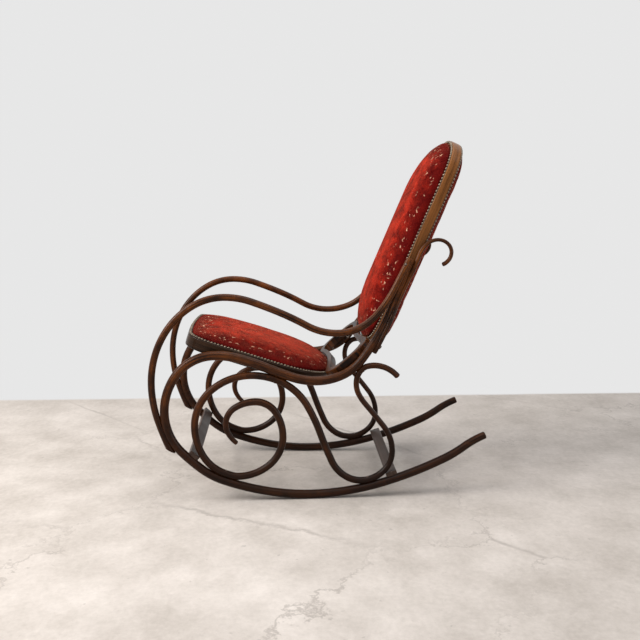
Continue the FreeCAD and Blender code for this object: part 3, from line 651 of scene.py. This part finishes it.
def pad_skin(name, points, base):
    """The skin over a pad's solid as one even mesh, softened above its nailed edge."""
    mesh = bmesh.new()
    for p in points:
        mesh.verts.new(p)
    bmesh.ops.remove_doubles(mesh, verts=mesh.verts, dist=0.0002)
    result = bmesh.ops.convex_hull(mesh, input=mesh.verts)
    inside = result["geom_interior"] + result["geom_unused"]
    spare = {v for v in inside if isinstance(v, bmesh.types.BMVert)}
    bmesh.ops.delete(mesh, geom=list(spare), context="VERTS")
    bmesh.ops.recalc_face_normals(mesh, faces=mesh.faces)
    data = bpy.data.meshes.new(name)
    mesh.to_mesh(data)
    mesh.free()
    obj = link(bpy.data.objects.new(name, data))
    remesh = obj.modifiers.new("Remesh", "REMESH")
    remesh.mode = "VOXEL"
    remesh.voxel_size = settings().velvet.voxel
    settle(obj, name)
    dome = [v.index for v in obj.data.vertices if v.co.z > base + SOFT_HEIGHT]
    obj.vertex_groups.new(name="dome").add(dome, 1.0, "REPLACE")
    soften = obj.modifiers.new("Soften", "SMOOTH")
    soften.iterations = SOFTENING
    soften.factor = 0.5
    soften.vertex_group = "dome"
    settle(obj, name)
    obj.vertex_groups.clear()
    return obj


def draw_in(obj, points, base, bulge, end_bulge, front_drop):
    """Pucker a pad at its nails, swell its sides and press down its front end.

    Each vertex also keeps how far along the edge it lies (run) and how far from it (rise), for
    the velvet's border.
    """
    outline = even_loop(hull_loop(points), OUTLINE_STEPS)
    tree = kdtree.KDTree(OUTLINE_STEPS)
    for index, p in enumerate(outline):
        tree.insert((p.x, p.y, 0), index)
    tree.balance()
    perimeter = sum((outline[i] - outline[i - 1]).length for i in range(OUTLINE_STEPS))
    pitch = settings().trim.nail_pitch
    front = -min(p.y for p in points)
    run, rise = [], []
    for vertex in obj.data.vertices:
        near, index, distance = tree.find((vertex.co.x, vertex.co.y, 0))
        height = vertex.co.z - base
        reach = math.hypot(distance, height)
        run.append(perimeter * index / OUTLINE_STEPS)
        rise.append(reach)
        pucker = math.exp(-reach / PUCKER_REACH)
        wave = math.cos(2 * math.pi * run[-1] / pitch)
        middle = Vector((vertex.co.x, vertex.co.y * 0.9, 0)).normalized()
        if height > PUCKER_START:
            vertex.co += (middle + Vector((0, 0, 1))) * (PUCKER_DEPTH * wave * pucker)
        lift = min(max((height - SIDE_FOOT) / SIDE_HEIGHT, 0), 1)
        swelling = bulge + (end_bulge - bulge) * middle.y ** 2
        forward = min(max(-vertex.co.y / front, 0), 1)
        vertex.co += middle * (swelling * 4 * lift * (1 - lift) * math.exp(-distance / SIDE_REACH))
        vertex.co.z -= front_drop * forward ** 2 * lift
    set_attribute(obj, "run", run)
    set_attribute(obj, "rise", rise)


def make_pad(node, angle, upward, bulge, end_bulge, front_drop=0.0):
    """A padded velvet piece in the space of its CAD solid, swelled, puckered and drawn in.

    bulge and end_bulge are how far its sides and its ends swell out over the nails, and
    front_drop is how far sitting has pressed down its front end.
    """
    datum = Datum(node, angle, upward)
    points = node_points(node, datum)
    base = min(p.z for p in points)
    obj = pad_skin(node + "_velvet", points, base)
    swell(obj, [v.index for v in obj.data.vertices if v.co.z < base + NAILED_HEIGHT])
    draw_in(obj, points, base, bulge, end_bulge, front_drop)
    for vertex in obj.data.vertices:
        vertex.co.z = max(vertex.co.z, base + LEAST_RISE)
        vertex.co = datum.world(*vertex.co)
    if upward < 0:
        obj.data.flip_normals()
    smooth(obj)
    finish_piece(obj, velvet("Red velvet"), "velvet", node)


class CHAIR_OT_seat_pad(bpy.types.Operator):
    """Upholster the seat"""
    bl_idname = "chair.seat_pad"
    bl_label = "Seat pad"

    def execute(self, context):
        make_pad("seat_pad", SEAT_SLOPE, 1, bulge=0.0045, end_bulge=0.018,
                 front_drop=0.018)
        return {"FINISHED"}


class CHAIR_OT_back_pads(bpy.types.Operator):
    """Upholster the front and the rear of the back"""
    bl_idname = "chair.back_pads"
    bl_label = "Back pads"

    def execute(self, context):
        make_pad("back_front_pad", BACK_SLOPE, 1, bulge=0.002, end_bulge=0.004)
        make_pad("back_rear_pad", BACK_SLOPE, -1, bulge=0.003, end_bulge=0.003)
        return {"FINISHED"}


# The nailed edges: band node, plane angle, side of the plane
BANDS = (
    ("seat_nail_band", SEAT_SLOPE, 1),
    ("back_front_nail_band", BACK_SLOPE, 1),
    ("back_rear_nail_band", BACK_SLOPE, -1),
)
BAND_STEPS = 720
LEAST_BAND = 0.004
# The share of a band's thickness that the braid fills, below the nails
BRAID_FILL = 0.8
BRAID_CLEARANCE = 0.0001
# Across the braid and up it, as shares of its width and thickness
BRAID_SECTION = (
    (0, 0), (0, 0.55), (0.08, 0.85), (0.3, 1), (0.7, 1), (0.92, 0.85), (1, 0.55), (1, 0))


def band_loops(node, angle, upward):
    """A band's datum, its outer outline, its width, and its lowest and highest level."""
    datum = Datum(node, angle, upward)
    points = node_points(node, datum)
    low = min(p.z for p in points)
    high = max(p.z for p in points)
    outer = even_loop(hull_loop(points), BAND_STEPS)
    gaps = [(Vector((p.x, p.y)) - q).length for q in outer[::BAND_STEPS // 8] for p in points]
    width = min(gap for gap in gaps if gap > LEAST_BAND)
    return datum, outer, width, low, high


class CHAIR_OT_braid(bpy.types.Operator):
    """Lay a plaited braid along the nailed edges"""
    bl_idname = "chair.braid"
    bl_label = "Braid"

    def execute(self, context):
        material = braid_cloth()
        count = BAND_STEPS
        for node, angle, upward in BANDS:
            datum, outer, width, low, high = band_loops(node, angle, upward)
            points, run, over, faces = [], [], [], []
            length = sum((outer[i] - outer[i - 1]).length for i in range(count))
            for across, lift in BRAID_SECTION:
                level = low + BRAID_CLEARANCE + (high - low) * lift * BRAID_FILL
                for i, p in enumerate(inward(outer, width * across)):
                    points.append(datum.world(p.x, p.y, level))
                    run.append(length * i / count)
                    over.append(width * across)
            rows = len(BRAID_SECTION)
            for row in range(rows):
                for i in range(count):
                    a = row * count + i
                    b = row * count + (i + 1) % count
                    c = (row + 1) % rows * count + (i + 1) % count
                    d = (row + 1) % rows * count + i
                    faces.append((a, b, c, d))
            obj = mesh_object(node.replace("nail_band", "braid"), points, faces)
            set_attribute(obj, "run", run)
            set_attribute(obj, "over", over)
            outward(obj)
            smooth(obj)
            finish_piece(obj, material, "braid", node)
        return {"FINISHED"}


def outward(obj):
    """Turn a closed piece's faces outward."""
    mesh = bmesh.new()
    mesh.from_mesh(obj.data)
    bmesh.ops.recalc_face_normals(mesh, faces=mesh.faces)
    mesh.to_mesh(obj.data)
    mesh.free()


# How far a nail leans and turns, in radians, and how much its size differs
NAIL_LEAN = 0.07
NAIL_TURN = 3.0
NAIL_SIZES = (0.95, 1.04)


def nail_tree(material):
    """Nail domes along a curve: resampled at the pitch, one dome a point, seeded tilt and size."""
    tree = bpy.data.node_groups.new("Nail row", "GeometryNodeTree")
    face = tree.interface
    face.new_socket("Row", in_out="INPUT", socket_type="NodeSocketGeometry")
    for name in ("Pitch", "Radius", "Rise"):
        face.new_socket(name, in_out="INPUT", socket_type="NodeSocketFloat")
    face.new_socket("Turn", in_out="INPUT", socket_type="NodeSocketRotation")
    face.new_socket("Seed", in_out="INPUT", socket_type="NodeSocketInt")
    face.new_socket("Nails", in_out="OUTPUT", socket_type="NodeSocketGeometry")

    def add(kind, inputs=None, **values):
        node = tree.nodes.new(kind)
        for key, value in values.items():
            setattr(node, key, value)
        for key, value in (inputs or {}).items():
            if isinstance(value, bpy.types.NodeSocket):
                tree.links.new(value, node.inputs[key])
            else:
                node.inputs[key].default_value = value
        return node

    given = add("NodeGroupInput").outputs
    curve = add("GeometryNodeMeshToCurve", {"Mesh": given["Row"]}).outputs[0]
    points = add("GeometryNodeResampleCurve", {"Curve": curve, "Length": given["Pitch"]},
                 mode="LENGTH").outputs[0]
    ball = add("GeometryNodeMeshUVSphere",
               {"Segments": 14, "Rings": 8, "Radius": 1.0}).outputs["Mesh"]
    size = {0: given["Radius"], 1: given["Radius"], 2: given["Rise"]}
    scale = add("ShaderNodeCombineXYZ", size).outputs[0]
    dome = add("GeometryNodeTransform", {"Geometry": ball, "Scale": scale}).outputs[0]
    tilt = add("FunctionNodeRandomValue", {"Seed": given["Seed"]}, data_type="FLOAT_VECTOR")
    tilt.inputs[0].default_value = (-NAIL_LEAN, -NAIL_LEAN, -NAIL_TURN)
    tilt.inputs[1].default_value = (NAIL_LEAN, NAIL_LEAN, NAIL_TURN)
    lean = add("FunctionNodeEulerToRotation", {0: tilt.outputs[0]}).outputs[0]
    turned = add("FunctionNodeRotateRotation", {0: given["Turn"], 1: lean},
                 rotation_space="LOCAL").outputs[0]
    grow = add("FunctionNodeRandomValue", {"Seed": given["Seed"]}, data_type="FLOAT")
    grow.inputs[2].default_value, grow.inputs[3].default_value = NAIL_SIZES
    placed = add("GeometryNodeInstanceOnPoints",
                 {"Points": points, "Instance": dome, "Rotation": turned,
                  "Scale": grow.outputs[1]}).outputs[0]
    real = add("GeometryNodeRealizeInstances", {0: placed}).outputs[0]
    painted = add("GeometryNodeSetMaterial", {"Geometry": real, "Material": material}).outputs[0]
    soft = add("GeometryNodeSetShadeSmooth", {"Geometry": painted}).outputs[0]
    tree.links.new(soft, add("NodeGroupOutput").inputs[0])
    return tree


class CHAIR_OT_nails(bpy.types.Operator):
    """Drive the rows of round-head nails"""
    bl_idname = "chair.nails"
    bl_label = "Nails"

    def execute(self, context):
        trim = settings().trim
        material = nail_metal()
        tree = nail_tree(material)
        sockets = {item.name: item.identifier for item in tree.interface.items_tree}
        count = BAND_STEPS
        edges = [(i, (i + 1) % count) for i in range(count)]
        for seed, (node, angle, upward) in enumerate(BANDS, start=1):
            datum, outer, width, low, high = band_loops(node, angle, upward)
            level = low + (high - low) * BRAID_FILL
            points = [datum.world(p.x, p.y, level) for p in inward(outer, width / 2)]
            mesh = bpy.data.meshes.new(node.replace("nail_band", "nails"))
            mesh.from_pydata([tuple(p) for p in points], edges, [])
            obj = link(bpy.data.objects.new(mesh.name, mesh))
            row = obj.modifiers.new("Nails", "NODES")
            row.node_group = tree
            length = sum((points[i] - points[i - 1]).length for i in range(count))
            row[sockets["Pitch"]] = length / round(length / trim.nail_pitch)
            row[sockets["Radius"]] = trim.nail_radius
            row[sockets["Rise"]] = trim.nail_rise
            row[sockets["Turn"]] = datum.up.to_track_quat("Z", "Y").to_euler()
            row[sockets["Seed"]] = seed
            settle(obj, obj.name)
            finish_piece(obj, material, "screws")
        return {"FINISHED"}


STRAP_STEPS = 96
STRAP_OUTLINE_STEPS = 400
STRAP_INSET = 0.0075
STRAP_DROP = 0.0004
# A strap's name, and the axis of the seat that it runs along
STRAPS = (("seat_straps_across", 0), ("seat_straps_along", 1))


class CHAIR_OT_webbing(bpy.types.Operator):
    """Stretch the hessian and the interlaced straps under the seat"""
    bl_idname = "chair.webbing"
    bl_label = "Webbing"

    def execute(self, context):
        trim = settings().trim
        hessian = jute("Hessian", pitch=0.0022,
                       warm=(0.42, 0.31, 0.19), cool=(0.16, 0.11, 0.065))
        paint(["seat_webbing", "back_front_webbing", "back_rear_webbing"], hessian)
        straps = jute("Webbing straps", pitch=0.0034,
                      warm=(0.36, 0.25, 0.14), cool=(0.12, 0.075, 0.040))
        datum = Datum("seat_webbing", SEAT_SLOPE)
        points = node_points("seat_webbing", datum)
        under = min(p.z for p in points)
        outline = inward(even_loop(hull_loop(points), STRAP_OUTLINE_STEPS), STRAP_INSET)
        pitch = trim.strap_width + trim.strap_gap
        half_width = trim.strap_width / 2
        thickness = trim.strap_thickness
        lower = -thickness * 0.9
        corners = ((-1, 0), (1, 0), (1, lower), (-1, lower))
        steps = STRAP_STEPS
        for name, along in STRAPS:
            extent = max(abs(p[1 - along]) for p in outline)
            half_count = int((extent - half_width) / pitch)
            vertices, faces = [], []
            for strap in range(-half_count, half_count + 1):
                centre = strap * pitch
                low_end, high_end = crossing(outline, along, centre, half_width)
                for step in range(steps + 1):
                    place = low_end + (high_end - low_end) * step / steps
                    wave = math.cos(math.pi * place / pitch) * (1 if (strap + along) % 2 else -1)
                    lift = under - STRAP_DROP - thickness - (0.5 + 0.5 * wave) * thickness
                    for side, depth in corners:
                        offset = centre + side * half_width
                        pair = (offset, place) if along else (place, offset)
                        vertices.append(datum.world(pair[0], pair[1], lift + depth))
                first = len(vertices) - 4 * (steps + 1)
                for step in range(steps):
                    a = first + 4 * step
                    for k in range(4):
                        faces.append((a + k, a + (k + 1) % 4, a + 4 + (k + 1) % 4, a + 4 + k))
                faces.append((first, first + 1, first + 2, first + 3))
                last = first + 4 * steps
                faces.append((last + 3, last + 2, last + 1, last))
            obj = mesh_object(name, vertices, faces)
            outward(obj)
            finish_piece(obj, straps, "webbing")
        return {"FINISHED"}


def crossing(outline, along, centre, half_width):
    """Where a strap, with its whole width, meets the outline at its two ends."""
    low, high = -1e9, 1e9
    for edge in (centre - half_width, centre + half_width):
        cuts = []
        for a, b in zip(outline, outline[1:] + outline[:1]):
            u, v = a[1 - along], b[1 - along]
            if (u - edge) * (v - edge) < 0:
                cuts.append(a[along] + (b[along] - a[along]) * (edge - u) / (v - u))
        low, high = max(low, min(cuts)), min(high, max(cuts))
    return low, high


def area_light(name, place, aim, size, power, colour):
    lamp = bpy.data.lights.new(name, "AREA")
    lamp.shape = "RECTANGLE"
    lamp.size, lamp.size_y = size
    lamp.energy = power
    lamp.color = colour
    obj = link(bpy.data.objects.new(name, lamp))
    obj.location = place
    obj.rotation_mode = "QUATERNION"
    obj.rotation_quaternion = (Vector(aim) - Vector(place)).to_track_quat("-Z", "Y")


def studio_world():
    """Soft even light from all round, with white where the camera or a reflection sees it."""
    world = bpy.data.worlds.new("Studio")
    world.use_nodes = True
    tree = world.node_tree
    tree.nodes.clear()
    rays = tree.nodes.new("ShaderNodeLightPath")
    seen = rays.outputs["Is Camera Ray"]
    for name in ("Is Glossy Ray", "Is Transmission Ray"):
        either = tree.nodes.new("ShaderNodeMath")
        either.operation = "MAXIMUM"
        tree.links.new(seen, either.inputs[0])
        tree.links.new(rays.outputs[name], either.inputs[1])
        seen = either.outputs[0]
    light = tree.nodes.new("ShaderNodeBackground")
    light.inputs["Color"].default_value = SKY_COLOUR
    light.inputs["Strength"].default_value = SKY_STRENGTH
    white = tree.nodes.new("ShaderNodeBackground")
    white.inputs["Color"].default_value = BACKDROP_WHITE
    mix = tree.nodes.new("ShaderNodeMixShader")
    tree.links.new(seen, mix.inputs[0])
    tree.links.new(light.outputs[0], mix.inputs[1])
    tree.links.new(white.outputs[0], mix.inputs[2])
    tree.links.new(mix.outputs[0], tree.nodes.new("ShaderNodeOutputWorld").inputs[0])
    return world


def photo_camera():
    """The camera of the photograph, turned by its yaw and pitch."""
    data = bpy.data.cameras.new("Camera")
    data.sensor_width = SENSOR_WIDTH
    data.lens = PHOTO_FOCAL * SENSOR_WIDTH / PHOTO_SIDE
    camera = link(bpy.data.objects.new("Camera", data))
    level = math.cos(CAMERA_PITCH)
    forward = Vector((-math.cos(CAMERA_YAW) * level, math.sin(CAMERA_YAW) * level,
                      -math.sin(CAMERA_PITCH)))
    right = Vector((math.sin(CAMERA_YAW), math.cos(CAMERA_YAW), 0))
    turned = Matrix((right, right.cross(forward), -forward)).transposed()
    camera.matrix_world = Matrix.Translation(CAMERA_PLACE) @ turned.to_4x4()
    return camera


class CHAIR_OT_stage(bpy.types.Operator):
    """Lay the floor and set the lights and the camera"""
    bl_idname = "chair.stage"
    bl_label = "Stage"

    def execute(self, context):
        stage = settings().stage
        half = stage.floor_size / 2
        corners = ((-half, -half, 0), (half, -half, 0), (half, half, 0), (-half, half, 0))
        floor = mesh_object("floor", corners, [(0, 1, 2, 3)])
        floor.data.materials.append(floor_stone(stage.wall_line))
        context.scene.world = studio_world()
        for lamp in LAMPS:
            area_light(*lamp)
        context.scene.camera = photo_camera()
        context.scene.view_settings.view_transform = "Standard"
        return {"FINISHED"}


class ChairSettings(bpy.types.PropertyGroup):
    wood: PointerProperty(type=WoodSettings, name="Wood", description="Wood finishes")
    velvet: PointerProperty(type=VelvetSettings, name="Velvet", description="Velvet and stuffing")
    trim: PointerProperty(type=TrimSettings, name="Trim", description="Nails and webbing")
    stage: PointerProperty(type=StageSettings, name="Stage", description="Floor and backdrop")


OPERATORS = (
    CHAIR_OT_rods,
    CHAIR_OT_screws,
    CHAIR_OT_seat_pad,
    CHAIR_OT_back_pads,
    CHAIR_OT_braid,
    CHAIR_OT_nails,
    CHAIR_OT_webbing,
    CHAIR_OT_stage,
)


class CHAIR_PT_panel(bpy.types.Panel):
    """The steps that finish the chair"""
    bl_idname = "CHAIR_PT_panel"
    bl_label = "Rocking chair"
    bl_space_type = "VIEW_3D"
    bl_region_type = "UI"
    bl_category = "Chair"

    def draw(self, context):
        for operator in OPERATORS:
            self.layout.operator(operator.bl_idname)


SETTINGS = (WoodSettings, VelvetSettings, TrimSettings, StageSettings, ChairSettings)
CLASSES = SETTINGS + OPERATORS + (CHAIR_PT_panel,)


def register():
    for cls in CLASSES:
        bpy.utils.register_class(cls)
    bpy.types.Scene.chair = PointerProperty(type=ChairSettings)


def unregister():
    del bpy.types.Scene.chair
    for cls in reversed(CLASSES):
        bpy.utils.unregister_class(cls)


def main():
    register()
    for operator in OPERATORS:
        group, name = operator.bl_idname.split(".")
        getattr(getattr(bpy.ops, group), name)()


if __name__ == "__main__":
    main()
